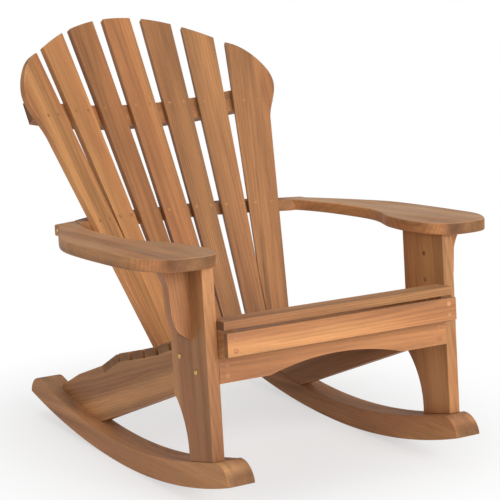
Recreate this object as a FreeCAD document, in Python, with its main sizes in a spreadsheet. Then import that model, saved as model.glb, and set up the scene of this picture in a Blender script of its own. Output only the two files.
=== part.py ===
import FreeCAD, Part
import math
import os
import Sketcher

V = FreeCAD.Vector

# A rocking adirondack chair in oiled teak, standing at rest on its rockers.
# +Z is up, the floor is z = 0, the chair faces -Y and is symmetric about x = 0.
# The origin lies on the floor under the middle of the chair.

doc = FreeCAD.newDocument("rocking_adirondack_chair")
sheet = doc.addObject("Spreadsheet::Sheet", "Sizes")
sheet.Label = "Sizes"

SIZES = [
    # boards and edges
    ("edge_round", 2.0),
    # rockers: sole arc, top arc, flat under the leg, rounded nose and tail
    ("rocker_inner", 250.0), ("rocker_width", 60.0), ("sole_radius_front", 1300.0),
    ("sole_radius_rear", 1740.0), ("rest_line", -65.8), ("rocker_waist", -30.0),
    ("rocker_waist_top", 45.5), ("rocker_top_radius", 1300.0),
    ("rocker_nose", -506.5), ("rocker_tail", 360.0), ("foot_flat_rear", -348.0),
    ("foot_flat_front", -461.0), ("nose_bulge", 9.0), ("tail_rounding", 46.0),
    # front legs
    ("leg_board", 27.0), ("leg_outer", 307.0), ("leg_foot_front", -443.5),
    ("leg_lean", 6.1), ("leg_depth", 136.0), ("leg_foot_depth", 88.0),
    ("leg_shoulder", 118.0), ("leg_hollow", 102.2),
    # side rails
    ("rail_board", 27.0), ("rail_low_rear", 73.0), ("rail_low_rise", 23.9),
    ("rail_tail", 257.0), ("rail_tail_rise", 9.0), ("rail_tail_slope", 22.5),
    ("rail_tail_bend", 172.0), ("rail_front_overhang", 22.0), ("rail_seat_gap", 0.3),
    # seat slats: the front one starts at the nosing, each tilt is its own
    ("seat_front_y", -440.0), ("seat_front_z", 385.0), ("seat_pitch", 58.0),
    ("seat_slat_width", 45.0), ("nosing_width", 51.0), ("seat_board", 18.0),
    ("tilt_nosing", 5.2), ("tilt_two", 24.5), ("tilt_three", 31.0), ("tilt_four", 27.5),
    ("tilt_five", 23.0), ("tilt_six", 18.4), ("tilt_seven", 17.4), ("tilt_eight", 17.4),
    ("lower_rail_tilt", 31.2), ("lower_rail_width", 77.0), ("lower_rail_gap", 13.0),
    ("lower_rail_belly", 26.0),
    # front skirt and apron
    ("skirt_board", 14.0), ("skirt_height", 47.0), ("skirt_drop", 4.0),
    ("apron_board", 22.0), ("apron_foot", 150.5), ("apron_height", 52.0),
    ("apron_arch_span", 330.0), ("apron_arch_rise", 23.0),
    # arms and arm brackets
    ("arm_board", 25.0), ("arm_slope", 3.55), ("arm_height", 488.5),
    ("arm_outer", 431.0), ("arm_inner", 255.5), ("arm_waist", 311.0),
    ("arm_front", -428.0), ("arm_end_lead", 32.0), ("arm_end_half", 325.5),
    ("arm_end_flat", 24.0), ("joint_front_lead", 71.0), ("joint_rear_lead", 9.0),
    ("joint_front_half", 282.0), ("joint_rear_half", 265.0), ("arm_edge_round", 3.0),
    ("bracket_board", 25.0), ("bracket_setback", 52.0), ("bracket_top", 62.0),
    ("bracket_body", 45.0), ("bracket_height", 148.5),
    # the fan back: slats lie on a cone that opens upward
    ("back_board", 16.0), ("back_arm_level", 500.0), ("back_front_y", 234.5),
    ("back_recline", 33.3), ("back_radius", 480.0), ("back_yaw_step", 8.85),
    ("fan_inner", 0.0692), ("fan_middle", 0.1345), ("fan_outer", 0.2383),
    ("fan_forward", 0.74), ("back_top", 894.0), ("back_crown_radius", 500.0),
    ("centre_waist", 65.2), ("centre_flare", 0.017), ("inner_waist", 57.4),
    ("inner_flare", 0.034), ("middle_waist", 58.6), ("middle_flare", 0.038),
    ("outer_waist", 72.8), ("outer_flare", 0.056), ("ear_bulge", 16.0),
    ("ear_length", 215.0),
    ("slat_tail", 34.0), ("slat_closing", -205.0), ("slat_gap", 1.0),
    # back rails
    ("cross_rail_depth", 55.0), ("upper_rail_board", 22.0), ("upper_rail_height", 53.0),
    ("upper_rail_rise", 196.0), ("upper_rail_reach", 318.0), ("upper_screw_shift", 17.0),
    # brass leg bolts and their nuts
    ("bolt_shank", 6.0), ("bolt_head", 11.0), ("bolt_head_height", 3.0),
    ("bolt_one_rise", 197.0), ("bolt_one_back", 105.0), ("bolt_two_rise", 172.0),
    ("bolt_two_back", 44.5), ("bolt_end", 2.0), ("nut_width", 10.0), ("nut_height", 5.0),
    # brass screws, teak plugs over the sunk ones
    ("screw_head", 7.5), ("screw_head_height", 3.5), ("screw_shank", 4.0),
    ("plug_width", 10.0), ("plug_height", 6.0), ("bore_gap", 0.3),
    ("back_screw_length", 34.0), ("back_screw_spread", 36.0), ("rail_screw_bite", 9.0),
    ("seat_screw_length", 36.0), ("seat_screw_spread", 22.0), ("screw_line_shift", 5.0),
    ("arm_screw_length", 60.0), ("arm_screw_front", 30.0), ("arm_screw_rear", 100.0),
    ("arm_end_screw_length", 75.0), ("bracket_screw_length", 44.0),
    ("bracket_screw_edge", 46.0), ("front_screw_length", 38.0),
    ("skirt_screw_spread", 24.0), ("rocker_screw_length", 60.0),
    ("rocker_screw_sink", 14.0), ("notch_screw_length", 40.0),
    ("notch_screw_spread", 44.0),
    # how far the blocks that trim other pieces reach past them
    ("clear_reach", 700.0),
]

for index, (alias, value) in enumerate(SIZES, start=1):
    cell = "B%d" % index
    sheet.set("A%d" % index, alias)
    sheet.set(cell, str(value))
    sheet.setAlias(cell, alias)
doc.recompute()


def size(alias):
    return float(sheet.get(alias))


def rad(alias):
    return math.radians(size(alias))


# helpers

def origin_plane(body, role):
    for item in body.Origin.OriginFeatures:
        if item.Role == role:
            return item
    raise ValueError(role)


def flat(point):
    return V(point[0], point[1], 0)


def curves(start, steps):
    """The curves of an outline, each with the point it starts from. A step is
    ("line", end), ("arc", through, end) or ("curve", through points, end)."""
    here = flat(start)
    for step in steps:
        target = flat(step[-1])
        if step[0] == "line":
            curve = Part.LineSegment(here, target)
        elif step[0] == "arc":
            curve = Part.Arc(here, flat(step[1]), target)
        else:
            curve = Part.BSplineCurve()
            curve.interpolate([here] + [flat(p) for p in step[1]] + [target])
        yield curve, here
        here = target


def draw(body, role, name, start, steps):
    """Closed outline in a sketch, from the steps that curves() takes."""
    sketch = body.newObject("Sketcher::SketchObject", name)
    sketch.AttachmentSupport = [(origin_plane(body, role), "")]
    sketch.MapMode = "FlatFace"
    ends = []
    for curve, here in curves(start, steps):
        sketch.addGeometry(curve)
        number = sketch.GeometryCount - 1
        first = sketch.getPoint(number, 1)
        last = sketch.getPoint(number, 2)
        forward = (first - here).Length < (last - here).Length
        ends.append((1, 2) if forward else (2, 1))
    count = len(ends)
    for i in range(count):
        j = (i + 1) % count
        sketch.addConstraint(Sketcher.Constraint("Coincident", i, ends[i][1], j, ends[j][0]))
    return sketch


def pad(body, sketch, name, alias):
    feature = body.newObject("PartDesign::Pad", name)
    feature.Profile = sketch
    feature.setExpression("Length", "Sizes." + alias)
    sketch.Visibility = False
    return feature


def new_body(name):
    body = doc.addObject("PartDesign::Body", name)
    body.Label = name
    return body


def round_edges(body, base, radius_alias, wanted, name):
    doc.recompute()
    names = []
    for number, edge in enumerate(base.Shape.Edges, start=1):
        if wanted(edge):
            names.append("Edge%d" % number)
    fillet = body.newObject("PartDesign::Fillet", name)
    fillet.Base = (base, names)
    fillet.setExpression("Radius", "Sizes." + radius_alias)
    body.Tip = fillet
    return fillet


def every(edge):
    return True


def across(edge, axis):
    """True for an edge that runs only along the given axis."""
    first = edge.valueAt(edge.FirstParameter)
    last = edge.valueAt(edge.LastParameter)
    step = last - first
    return abs(abs(step.dot(axis)) - edge.Length) < 1e-4


def on_faces(low, high, axis):
    """Edges that lie in one of two planes square to the axis."""
    def wanted(edge):
        values = [vertex.Point.dot(axis) for vertex in edge.Vertexes]
        middle = edge.valueAt(0.5 * (edge.FirstParameter + edge.LastParameter)).dot(axis)
        values.append(middle)
        for level in (low, high):
            if max(abs(value - level) for value in values) < 1e-4:
                return True
        return False
    return wanted


def cut(label, base, tools):
    """The base piece with the tool shapes taken out."""
    tool = doc.addObject("Part::Feature", label + "_bores")
    tool.Shape = Part.makeCompound(tools)
    return trimmed(label, base, tool)


def trimmed(label, base, tool):
    result = doc.addObject("Part::Cut", label)
    result.Base = base
    result.Tool = tool
    return result


def frame(origin, side, along, facing):
    matrix = FreeCAD.Matrix(
        side.x, along.x, facing.x, origin.x,
        side.y, along.y, facing.y, origin.y,
        side.z, along.z, facing.z, origin.z,
        0, 0, 0, 1)
    return FreeCAD.Placement(matrix)


parts = []


def keep(item, label):
    item.Label = label
    parts.append(item)
    return item


# common lines

leg_outer = size("leg_outer")
leg_inner = leg_outer - size("leg_board")
rail_outer = leg_inner
rail_inner = rail_outer - size("rail_board")
rest = size("rest_line")
clear = size("clear_reach")


def sole(y):
    radius = size("sole_radius_front") if y < rest else size("sole_radius_rear")
    return radius - math.sqrt(radius ** 2 - (y - rest) ** 2)


def rocker_top(y):
    radius = size("rocker_top_radius")
    reach = y - size("rocker_waist")
    return size("rocker_waist_top") + radius - math.sqrt(radius ** 2 - reach ** 2)


foot_rear = size("foot_flat_rear")
foot_reach = foot_rear - size("rocker_waist")
foot_slope = foot_reach / math.sqrt(size("rocker_top_radius") ** 2 - foot_reach ** 2)


def foot_flat(y):
    """Height of the flat on the rocker that carries the leg."""
    return rocker_top(foot_rear) + foot_slope * (y - foot_rear)


lean = rad("leg_lean")
leg_foot = V(0, size("leg_foot_front"), foot_flat(size("leg_foot_front")))
leg_up = V(0, math.sin(lean), math.cos(lean))
leg_back = V(0, math.cos(lean), -math.sin(lean))


def on_leg(rise, back):
    """Point in the leg's side view, from the front corner of its foot."""
    point = leg_foot + leg_up * rise + leg_back * back
    return (point.y, point.z)


arm_tilt = rad("arm_slope")
arm_side = V(1, 0, 0)
arm_back = V(0, math.cos(arm_tilt), -math.sin(arm_tilt))
arm_up = V(0, math.sin(arm_tilt), math.cos(arm_tilt))


def arm_under(y):
    return size("arm_height") - math.tan(arm_tilt) * y - size("arm_board") / math.cos(arm_tilt)


def leg_to_arm(back):
    """Rise along the leg at which a line parallel to it meets the arm's underside."""
    rise = 370.0
    for step in range(20):
        y, z = on_leg(rise, back)
        rise += arm_under(y) - z
    return rise


# seat line: the top of the slats, seen from the side
tilt_names = ["tilt_nosing", "tilt_two", "tilt_three", "tilt_four",
              "tilt_five", "tilt_six", "tilt_seven", "tilt_eight"]
seat_nodes = [V(0, size("seat_front_y"), size("seat_front_z"))]
seat_runs = []
for name in tilt_names:
    tilt = rad(name)
    run = V(0, math.cos(tilt), -math.sin(tilt))
    seat_runs.append(run)
    length = size("seat_pitch")
    if name == "tilt_nosing":
        length = size("nosing_width") + 0.5 * (size("seat_pitch") - size("seat_slat_width"))
    seat_nodes.append(seat_nodes[-1] + run * length)


def meet(point_a, run_a, point_b, run_b):
    """Crossing of two lines in the side view."""
    det = run_a.y * -run_b.z + run_b.y * run_a.z
    gap = point_b - point_a
    share = (gap.y * -run_b.z + run_b.y * gap.z) / det
    return point_a + run_a * share


def below(run):
    return V(0, run.z, -run.y)


# the lower back rail follows the last seat slat at its own steeper tilt
lower_tilt = rad("lower_rail_tilt")
lower_run = V(0, math.cos(lower_tilt), -math.sin(lower_tilt))
lower_start = seat_nodes[-1] + lower_run * (0.5 * size("lower_rail_gap"))
lower_end = lower_start + lower_run * size("lower_rail_width")

# the back's cone

recline = math.tan(rad("back_recline"))
FANS = ["fan_inner", "fan_middle", "fan_outer"]
WAISTS = ["centre", "inner", "middle", "outer"]


def slat_frame(k):
    """Front face of slat k: origin at arm level, then its side, length and facing."""
    yaw = math.radians(size("back_yaw_step") * k)
    radius = size("back_radius")
    start = V(radius * math.sin(yaw),
              size("back_front_y") - radius * (1 - math.cos(yaw)),
              size("back_arm_level"))
    fan = 0.0
    if k != 0:
        fan = math.copysign(size(FANS[abs(k) - 1]), k)
    along = V(fan, recline - size("fan_forward") * fan * fan, 1)
    along.normalize()
    tangent = V(math.cos(yaw), -math.sin(yaw), 0)
    facing = tangent.cross(along)
    facing.normalize()
    side = along.cross(facing)
    return start, side, along, facing


def arm_crossing():
    """How far back along the arms' top the face of the back crosses it."""
    start, side, along, facing = slat_frame(0)
    point = meet(V(0, 0, size("arm_height")), arm_back, start, along)
    return point.y / arm_back.y


def half_width(k, length):
    name = WAISTS[abs(k)]
    return 0.5 * size(name + "_waist") + 0.5 * size(name + "_flare") * length


def lower_crossing(k):
    """Length along slat k, from arm level, at which it reaches the lower rail's top."""
    start, side, along, facing = slat_frame(k)
    normal = below(lower_run)
    return (lower_start - start).dot(normal) / along.dot(normal)


def crown(x):
    return size("back_top") - x * x / (2 * size("back_crown_radius"))


def to_crown(k, across_slat):
    """Length along slat k at which its front face reaches the crown line."""
    start, side, along, facing = slat_frame(k)
    length = 450.0
    for step in range(40):
        point = start + side * across_slat(length) + along * length
        length += crown(point.x) - point.z
    return length


def back_space(k, depth):
    """Everything in front of a plane that lies depth behind the face of slat k."""
    start, side, along, facing = slat_frame(k)
    corner = start - facing * depth - side * clear - along * clear
    box = Part.makeBox(2 * clear, 2 * clear, clear)
    box.Placement = frame(corner, side, along, facing)
    return box


def bowl(depth):
    """The hollow that the slats form, as deep as the given distance behind their faces."""
    space = back_space(0, depth)
    for k in (-3, -2, -1, 1, 2, 3):
        space = space.common(back_space(k, depth))
    return space


# rockers

def make_rocker(label, side):
    body = new_body(label)
    nose = size("rocker_nose")
    tail = size("rocker_tail")
    flat_front = size("foot_flat_front")
    bulge = size("nose_bulge")
    tip = (nose, sole(nose))
    top_front = (flat_front, foot_flat(flat_front))
    brow = (0.5 * (nose + flat_front) - 0.6 * bulge, 0.5 * (tip[1] + top_front[1]) + bulge)
    turn = size("tail_rounding")
    top_rear = (tail - turn, rocker_top(tail - turn))
    end = (tail, sole(tail))
    heel = (tail - 0.24 * turn, end[1] + 0.70 * (top_rear[1] - end[1]))
    middle = 0.5 * (foot_rear + tail - turn)
    steps = [
        ("arc", (0.5 * (nose + rest), sole(0.5 * (nose + rest))), (rest, 0.0)),
        ("arc", (0.5 * (tail + rest), sole(0.5 * (tail + rest))), end),
        ("arc", heel, top_rear),
        ("arc", (middle, rocker_top(middle)), (foot_rear, rocker_top(foot_rear))),
        ("line", top_front),
        ("arc", brow, tip),
    ]
    sketch = draw(body, "YZ_Plane", label + "_side", tip, steps)
    base = pad(body, sketch, label + "_board", "rocker_width")
    width = size("rocker_width")
    round_edges(body, base, "edge_round", every, label + "_eased")
    x = size("rocker_inner") if side > 0 else -size("rocker_inner") - width
    body.Placement = FreeCAD.Placement(V(x, 0, 0), FreeCAD.Rotation())
    return body


# front legs

def leg_points():
    foot_depth = size("leg_foot_depth")
    heel_y = leg_foot.y + foot_depth * math.cos(lean) - foot_depth * math.sin(lean) * foot_slope
    heel = (heel_y, foot_flat(heel_y))
    shoulder = on_leg(size("leg_shoulder"), size("leg_depth"))
    hollow = on_leg(0.53 * size("leg_shoulder"), size("leg_hollow"))
    top_rear = on_leg(leg_to_arm(size("leg_depth")), size("leg_depth"))
    top_front = on_leg(leg_to_arm(0.0), 0.0)
    return heel, hollow, shoulder, top_rear, top_front


def make_leg(label, side):
    body = new_body(label)
    heel, hollow, shoulder, top_rear, top_front = leg_points()
    start = (leg_foot.y, leg_foot.z)
    steps = [
        ("line", heel),
        ("arc", hollow, shoulder),
        ("line", top_rear),
        ("line", top_front),
        ("line", start),
    ]
    sketch = draw(body, "YZ_Plane", label + "_side", start, steps)
    base = pad(body, sketch, label + "_board", "leg_board")
    round_edges(body, base, "edge_round", every, label + "_eased")
    x = leg_inner if side > 0 else -leg_outer
    body.Placement = FreeCAD.Placement(V(x, 0, 0), FreeCAD.Rotation())
    return body


# side rails

def rail_steps():
    """Side view of a seat rail. Its top is a row of flats, one under each slat."""
    thick = size("seat_board")
    under = []
    for i, run in enumerate(seat_runs):
        under.append((seat_nodes[i] + below(run) * thick, run))
    front_back = -size("rail_front_overhang")
    # front end, parallel to the leg
    nose_line = leg_foot + leg_back * front_back
    top_front = meet(nose_line, leg_up, under[0][0], under[0][1])
    # notch over the apron, then the long straight lower edge
    apron_rear = size("apron_board")
    notch = leg_foot + leg_back * apron_rear + leg_up * (size("apron_foot") + size("apron_height"))
    low_front = meet(nose_line, leg_up, notch, leg_back)
    low_rise = rad("rail_low_rise")
    low_run = V(0, math.cos(low_rise), -math.sin(low_rise))
    low_rear_y = size("rail_low_rear")
    gap = size("rail_seat_gap")
    low_rear = V(0, low_rear_y, rocker_top(low_rear_y) + gap)
    notch_foot = meet(notch, leg_up, low_rear, low_run)
    # tail on the rocker
    tail_y = size("rail_tail")
    tail_low = V(0, tail_y, rocker_top(tail_y) + gap)
    tail_high = V(0, tail_y - 0.5, tail_low.z + size("rail_tail_rise"))
    slope = rad("rail_tail_slope")
    points = [top_front]
    runs = seat_runs + [lower_run]
    for i in range(1, len(runs)):
        down = below(runs[i - 1]) + below(runs[i])
        points.append(seat_nodes[i] + down * (thick / (0.5 * down.dot(down))))
    points.append(lower_end + below(lower_run) * thick)
    points.append(lower_end)
    bend_y = size("rail_tail_bend")
    bend = V(0, bend_y, lower_end.z - math.tan(slope) * (bend_y - lower_end.y))
    points.append(bend)
    lip = V(0, tail_y - 14, tail_high.z + 9)
    middle_y = 0.5 * (low_rear_y + tail_y)
    steps = [("line", (p.y, p.z)) for p in points[1:]]
    steps.append(("line", (lip.y, lip.z)))
    steps.append(("arc", (tail_high.y - 3.5, tail_high.z + 5.5), (tail_high.y, tail_high.z)))
    steps.append(("line", (tail_low.y, tail_low.z)))
    steps.append(("arc", (middle_y, rocker_top(middle_y) + gap), (low_rear.y, low_rear.z)))
    steps.append(("line", (notch_foot.y, notch_foot.z)))
    steps.append(("line", (notch.y, notch.z)))
    steps.append(("line", (low_front.y, low_front.z)))
    steps.append(("line", (top_front.y, top_front.z)))
    return (top_front.y, top_front.z), steps


def make_rail(label, side):
    body = new_body(label)
    start, steps = rail_steps()
    sketch = draw(body, "YZ_Plane", label + "_side", start, steps)
    pad(body, sketch, label + "_board", "rail_board")
    x = rail_inner if side > 0 else -rail_outer
    body.Placement = FreeCAD.Placement(V(x, 0, 0), FreeCAD.Rotation())
    return body


# seat slats

seat_names = ["nosing_slat", "seat_slat_2", "seat_slat_3", "seat_slat_4",
              "seat_slat_5", "seat_slat_6", "seat_slat_7", "seat_slat_8"]


def seat_place(index):
    """Front upper corner of a slat, its run and its width."""
    run = seat_runs[index]
    if index == 0:
        return seat_nodes[0], run, size("nosing_width")
    gap = size("seat_pitch") - size("seat_slat_width")
    return seat_nodes[index] + run * (0.5 * gap), run, size("seat_slat_width")


def make_seat_slat(index):
    label = seat_names[index]
    corner, run, width = seat_place(index)
    body = new_body(label)
    box = body.newObject("PartDesign::AdditiveBox", label + "_board")
    box.Length = 2 * rail_outer
    box.Width = width
    box.Height = size("seat_board")
    box.setExpression("Length", "2 * (Sizes.leg_outer - Sizes.leg_board)")
    box.setExpression("Height", "Sizes.seat_board")
    box.setExpression("Width", "Sizes." + ("nosing_width" if index == 0 else "seat_slat_width"))
    round_edges(body, box, "edge_round", lambda edge: across(edge, V(1, 0, 0)), label + "_eased")
    up = V(0, -run.z, run.y)
    start = corner - up * size("seat_board") - V(rail_outer, 0, 0)
    body.Placement = frame(start, V(1, 0, 0), run, up)
    return body


# arms

# Plan of an arm, from its rear end round the outside and the front to the joint with
# the cross rail: (share of the width from the inner edge out, share of the length back)
ARM_OUTSIDE = [(0.504, 0.909), (0.732, 0.779), (0.920, 0.645), (0.985, 0.508),
               (1.0, 0.385), (1.0, 0.225), (0.983, 0.151), (0.920, 0.098),
               (0.840, 0.059), (0.727, 0.021), (0.573, 0.003), (0.396, 0.0),
               (0.242, 0.005), (0.123, 0.028), (0.048, 0.059), (0.0, 0.107)]
# (share of the way from the inner edge to the waist, share of the length back)
ARM_INSIDE = [(0.07, 0.261), (0.26, 0.333), (0.64, 0.412), (0.96, 0.515),
              (1.0, 0.632), (0.84, 0.811)]


def arm_rear():
    return arm_crossing() - size("arm_end_lead")


def joint_ends():
    """Front and rear end of the joint between the right arm and the cross rail."""
    back_line = arm_crossing()
    front = (size("joint_front_half"), back_line - size("joint_front_lead"))
    rear = (size("joint_rear_half"), back_line - size("joint_rear_lead"))
    return front, rear


def make_arm(label, side):
    body = new_body(label)
    inner = size("arm_inner")
    width = size("arm_outer") - inner
    waist = size("arm_waist") - inner
    front = size("arm_front")
    rear = arm_rear()
    length = rear - front

    def p(x, y):
        return (side * x, y)
    end_outer = p(size("arm_end_half"), rear)
    joint_front, joint_rear = joint_ends()
    curve = [p(inner + a * width, front + b * length) for a, b in ARM_OUTSIDE]
    curve += [p(inner + a * waist, front + b * length) for a, b in ARM_INSIDE]
    steps = [
        ("line", p(size("arm_end_half"), rear - size("arm_end_flat"))),
        ("curve", curve, p(*joint_front)),
        ("line", p(*joint_rear)),
        ("line", end_outer),
    ]
    sketch = draw(body, "XY_Plane", label + "_plan", end_outer, steps)
    base = pad(body, sketch, label + "_board", "arm_board")
    thick = size("arm_board")
    round_edges(body, base, "arm_edge_round", on_faces(0.0, thick, V(0, 0, 1)), label + "_eased")
    start = V(0, 0, size("arm_height")) - arm_up * thick
    body.Placement = frame(start, arm_side, arm_back, arm_up)
    return body


def bracket_ends():
    """Rise along the leg of the bracket's foot and of its top under the arm."""
    head = leg_to_arm(size("bracket_setback"))
    return head - size("bracket_height"), head


def make_bracket(label, side):
    """Bracket under the arm, on the leg's outer face, trimmed to the arm's underside."""
    body = new_body(label + "_body")
    setback = size("bracket_setback")
    foot, head = bracket_ends()
    top = size("bracket_top")
    middle = size("bracket_body")

    def p(x, share):
        return (side * (leg_outer + x), foot + share * (head - foot))
    steps = [
        ("line", p(top, 1.04)),
        ("curve", [p(0.95 * top, 0.946), p(0.86 * top, 0.865)], p(middle, 0.704)),
        ("line", p(0.93 * middle, 0.377)),
        ("curve", [p(0.82 * middle, 0.236), p(0.69 * middle, 0.148), p(0.40 * middle, 0.061)],
         p(0, 0.0)),
        ("line", p(0, 1.04)),
    ]
    sketch = draw(body, "XZ_Plane", label + "_profile", p(0, 1.04), steps)
    pad(body, sketch, label + "_board", "bracket_board")
    start = leg_foot + leg_back * (setback + size("bracket_board"))
    body.Placement = frame(start, V(1, 0, 0), leg_back, leg_up)
    return trimmed(label, body, arm_block)


# skirt and apron

def make_skirt():
    label = "front_skirt"
    body = new_body(label)
    box = body.newObject("PartDesign::AdditiveBox", label + "_board")
    box.setExpression("Length", "2 * (Sizes.leg_outer - Sizes.leg_board)")
    box.setExpression("Width", "Sizes.skirt_board")
    box.setExpression("Height", "Sizes.skirt_height")
    round_edges(body, box, "edge_round", lambda edge: across(edge, V(1, 0, 0)), label + "_eased")
    start, steps = rail_steps()
    front_top = V(0, start[0], start[1])
    corner = front_top - leg_up * (size("skirt_height") + size("skirt_drop")) \
        - leg_back * size("skirt_board") - V(rail_outer, 0, 0)
    body.Placement = frame(corner, V(1, 0, 0), leg_back, leg_up)
    return body


def make_apron():
    label = "front_apron"
    body = new_body(label)
    low = size("apron_foot")
    high = low + size("apron_height")
    half = 0.5 * size("apron_arch_span")
    steps = [
        ("line", (-half, low)),
        ("arc", (0.0, low + size("apron_arch_rise")), (half, low)),
        ("line", (leg_inner, low)),
        ("line", (leg_inner, high)),
        ("line", (-leg_inner, high)),
        ("line", (-leg_inner, low)),
    ]
    sketch = draw(body, "XZ_Plane", label + "_profile", (-leg_inner, low), steps)
    pad(body, sketch, label + "_board", "apron_board")
    start = leg_foot + leg_back * size("apron_board")
    body.Placement = frame(start, V(1, 0, 0), leg_back, leg_up)
    return body


# back slats

# The ear of an outer slat, from its neck up to its tip:
# (share of its length down from the tip, share of its bulge past the straight edge)
EAR = [(0.80, 0.42), (0.69, 0.81), (0.59, 1.0), (0.48, 0.82), (0.316, -0.31),
       (0.177, -1.92), (0.074, -3.65)]


def slat_outline(k):
    start, side, along, facing = slat_frame(k)
    low = lower_crossing(k) - size("slat_tail")

    def right(length):
        return half_width(k, length)

    def left(length):
        return -half_width(k, length)
    if abs(k) < 3:
        top_right = to_crown(k, right)
        top_left = to_crown(k, left)
        top_middle = to_crown(k, lambda length: 0.0)
        steps = [
            ("line", (right(low), low)),
            ("line", (right(top_right), top_right)),
            ("arc", (0.0, top_middle), (left(top_left), top_left)),
            ("line", (left(low), low)),
        ]
        return (left(low), low), steps

    # the two outer slats: the outer edge swells to an ear, the inner edge
    # follows its neighbour from the point where the two meet
    hand = 1 if k > 0 else -1
    inside, outside = (left, right) if hand > 0 else (right, left)
    bulge = hand * size("ear_bulge")
    tip = to_crown(k, inside)
    closing = size("slat_closing")
    neighbour = k - hand
    n_start, n_side, n_along, n_facing = slat_frame(neighbour)
    edge = n_start + n_side * (hand * half_width(neighbour, low)) + n_along * low
    foot = (edge - start).dot(side) + hand * size("slat_gap")
    neck = tip - size("ear_length")
    curve = []
    for down, out in EAR:
        length = tip - down * size("ear_length")
        curve.append((outside(length) + out * bulge, length))
    steps = [
        ("line", (outside(low), low)),
        ("line", (outside(neck), neck)),
        ("curve", curve, (inside(tip), tip)),
        ("line", (inside(closing), closing)),
        ("line", (foot, low)),
    ]
    return (foot, low), steps


def make_back_slat(k):
    label = "back_slat_%d" % (k + 4)
    body = new_body(label)
    start, steps = slat_outline(k)
    sketch = draw(body, "XY_Plane", label + "_face", start, steps)
    base = pad(body, sketch, label + "_board", "back_board")
    thick = size("back_board")
    round_edges(body, base, "edge_round", every, label + "_eased")
    origin, side, along, facing = slat_frame(k)
    body.Placement = frame(origin - facing * thick, side, along, facing)
    return body


# back rails

def slat_lane(k):
    """The room in front of the back of slat k, as wide as the slat."""
    start, steps = slat_outline(k)
    outline = Part.Wire([curve.toShape() for curve, here in curves(start, steps)])
    lane = Part.Face(outline).extrude(V(0, 0, clear))
    origin, side, along, facing = slat_frame(k)
    lane.Placement = frame(origin - facing * size("back_board"), side, along, facing)
    return lane


def slat_room():
    """All that lies in front of the slats' backs. A slat's corner reaches past the seam
    with its neighbour, so the bowl alone leaves too little room for it."""
    return bowl(size("back_board")).multiFuse([slat_lane(k) for k in range(-3, 4)])


def hollowed(label, body):
    """A rail with its front worked to the backs of the slats."""
    tool = doc.addObject("Part::Feature", label + "_hollow")
    tool.Shape = slat_room()
    return trimmed(label, body, tool)


def make_cross_rail():
    """Rail at arm level, between the arms."""
    label = "middle_back_rail"
    body = new_body(label + "_body")
    front, rear = joint_ends()
    middle = arm_crossing() + size("cross_rail_depth")
    belly = middle - rear[1]
    curve = []
    for across_rail, back in ((0.83, 0.47), (0.56, 0.92), (0.0, 1.0), (-0.56, 0.92), (-0.83, 0.47)):
        curve.append((across_rail * rear[0], rear[1] + back * belly))
    steps = [
        ("line", front),
        ("line", rear),
        ("curve", curve, (-rear[0], rear[1])),
        ("line", (-front[0], front[1])),
    ]
    sketch = draw(body, "XY_Plane", label + "_plan", (-front[0], front[1]), steps)
    pad(body, sketch, label + "_board", "arm_board")
    start = V(0, 0, size("arm_height")) - arm_up * size("arm_board")
    body.Placement = frame(start, arm_side, arm_back, arm_up)
    return hollowed(label, body)


def make_lower_rail():
    """Rail under the foot of the back, housed in notches in the side rails."""
    label = "lower_back_rail"
    body = new_body(label + "_body")
    width = size("lower_rail_width")
    belly = size("lower_rail_belly")
    inside = rail_inner - 1
    steps = [
        ("line", (rail_outer, 0.0)),
        ("line", (rail_outer, width)),
        ("line", (inside, width)),
        ("curve", [(0.6 * inside, width + 0.75 * belly), (0.0, width + belly),
                   (-0.6 * inside, width + 0.75 * belly)], (-inside, width)),
        ("line", (-rail_outer, width)),
        ("line", (-rail_outer, 0.0)),
    ]
    sketch = draw(body, "XY_Plane", label + "_plan", (-rail_outer, 0.0), steps)
    pad(body, sketch, label + "_board", "seat_board")
    up = V(0, -lower_run.z, lower_run.y)
    start = lower_start - up * size("seat_board")
    body.Placement = frame(start, V(1, 0, 0), lower_run, up)
    return hollowed(label, body)


def make_upper_rail():
    """Bent rail behind the slats near their tops."""
    label = "upper_back_rail"
    front = slat_room()
    rear = bowl(size("back_board") + size("upper_rail_board"))
    origin, side, along, facing = slat_frame(0)
    rise = size("upper_rail_rise")
    height = size("upper_rail_height")
    reach = size("upper_rail_reach")
    corner = origin + along * rise - facing * clear - side * reach
    band = Part.makeBox(2 * reach, height, 2 * clear)
    band.Placement = frame(corner, side, along, facing)
    item = doc.addObject("Part::Feature", label)
    item.Shape = band.common(rear).cut(front).removeSplitter()
    return item


# fasteners

def turned(label, start, steps):
    """A body turned about its own z axis, from an outline of (radius, height)."""
    body = new_body(label)
    sketch = draw(body, "XZ_Plane", label + "_outline", start, steps)
    feature = body.newObject("PartDesign::Revolution", label + "_turned")
    feature.Profile = sketch
    feature.ReferenceAxis = (sketch, ["V_Axis"])
    feature.Angle = 360.0
    sketch.Visibility = False
    doc.recompute()
    return body.Shape


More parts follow.
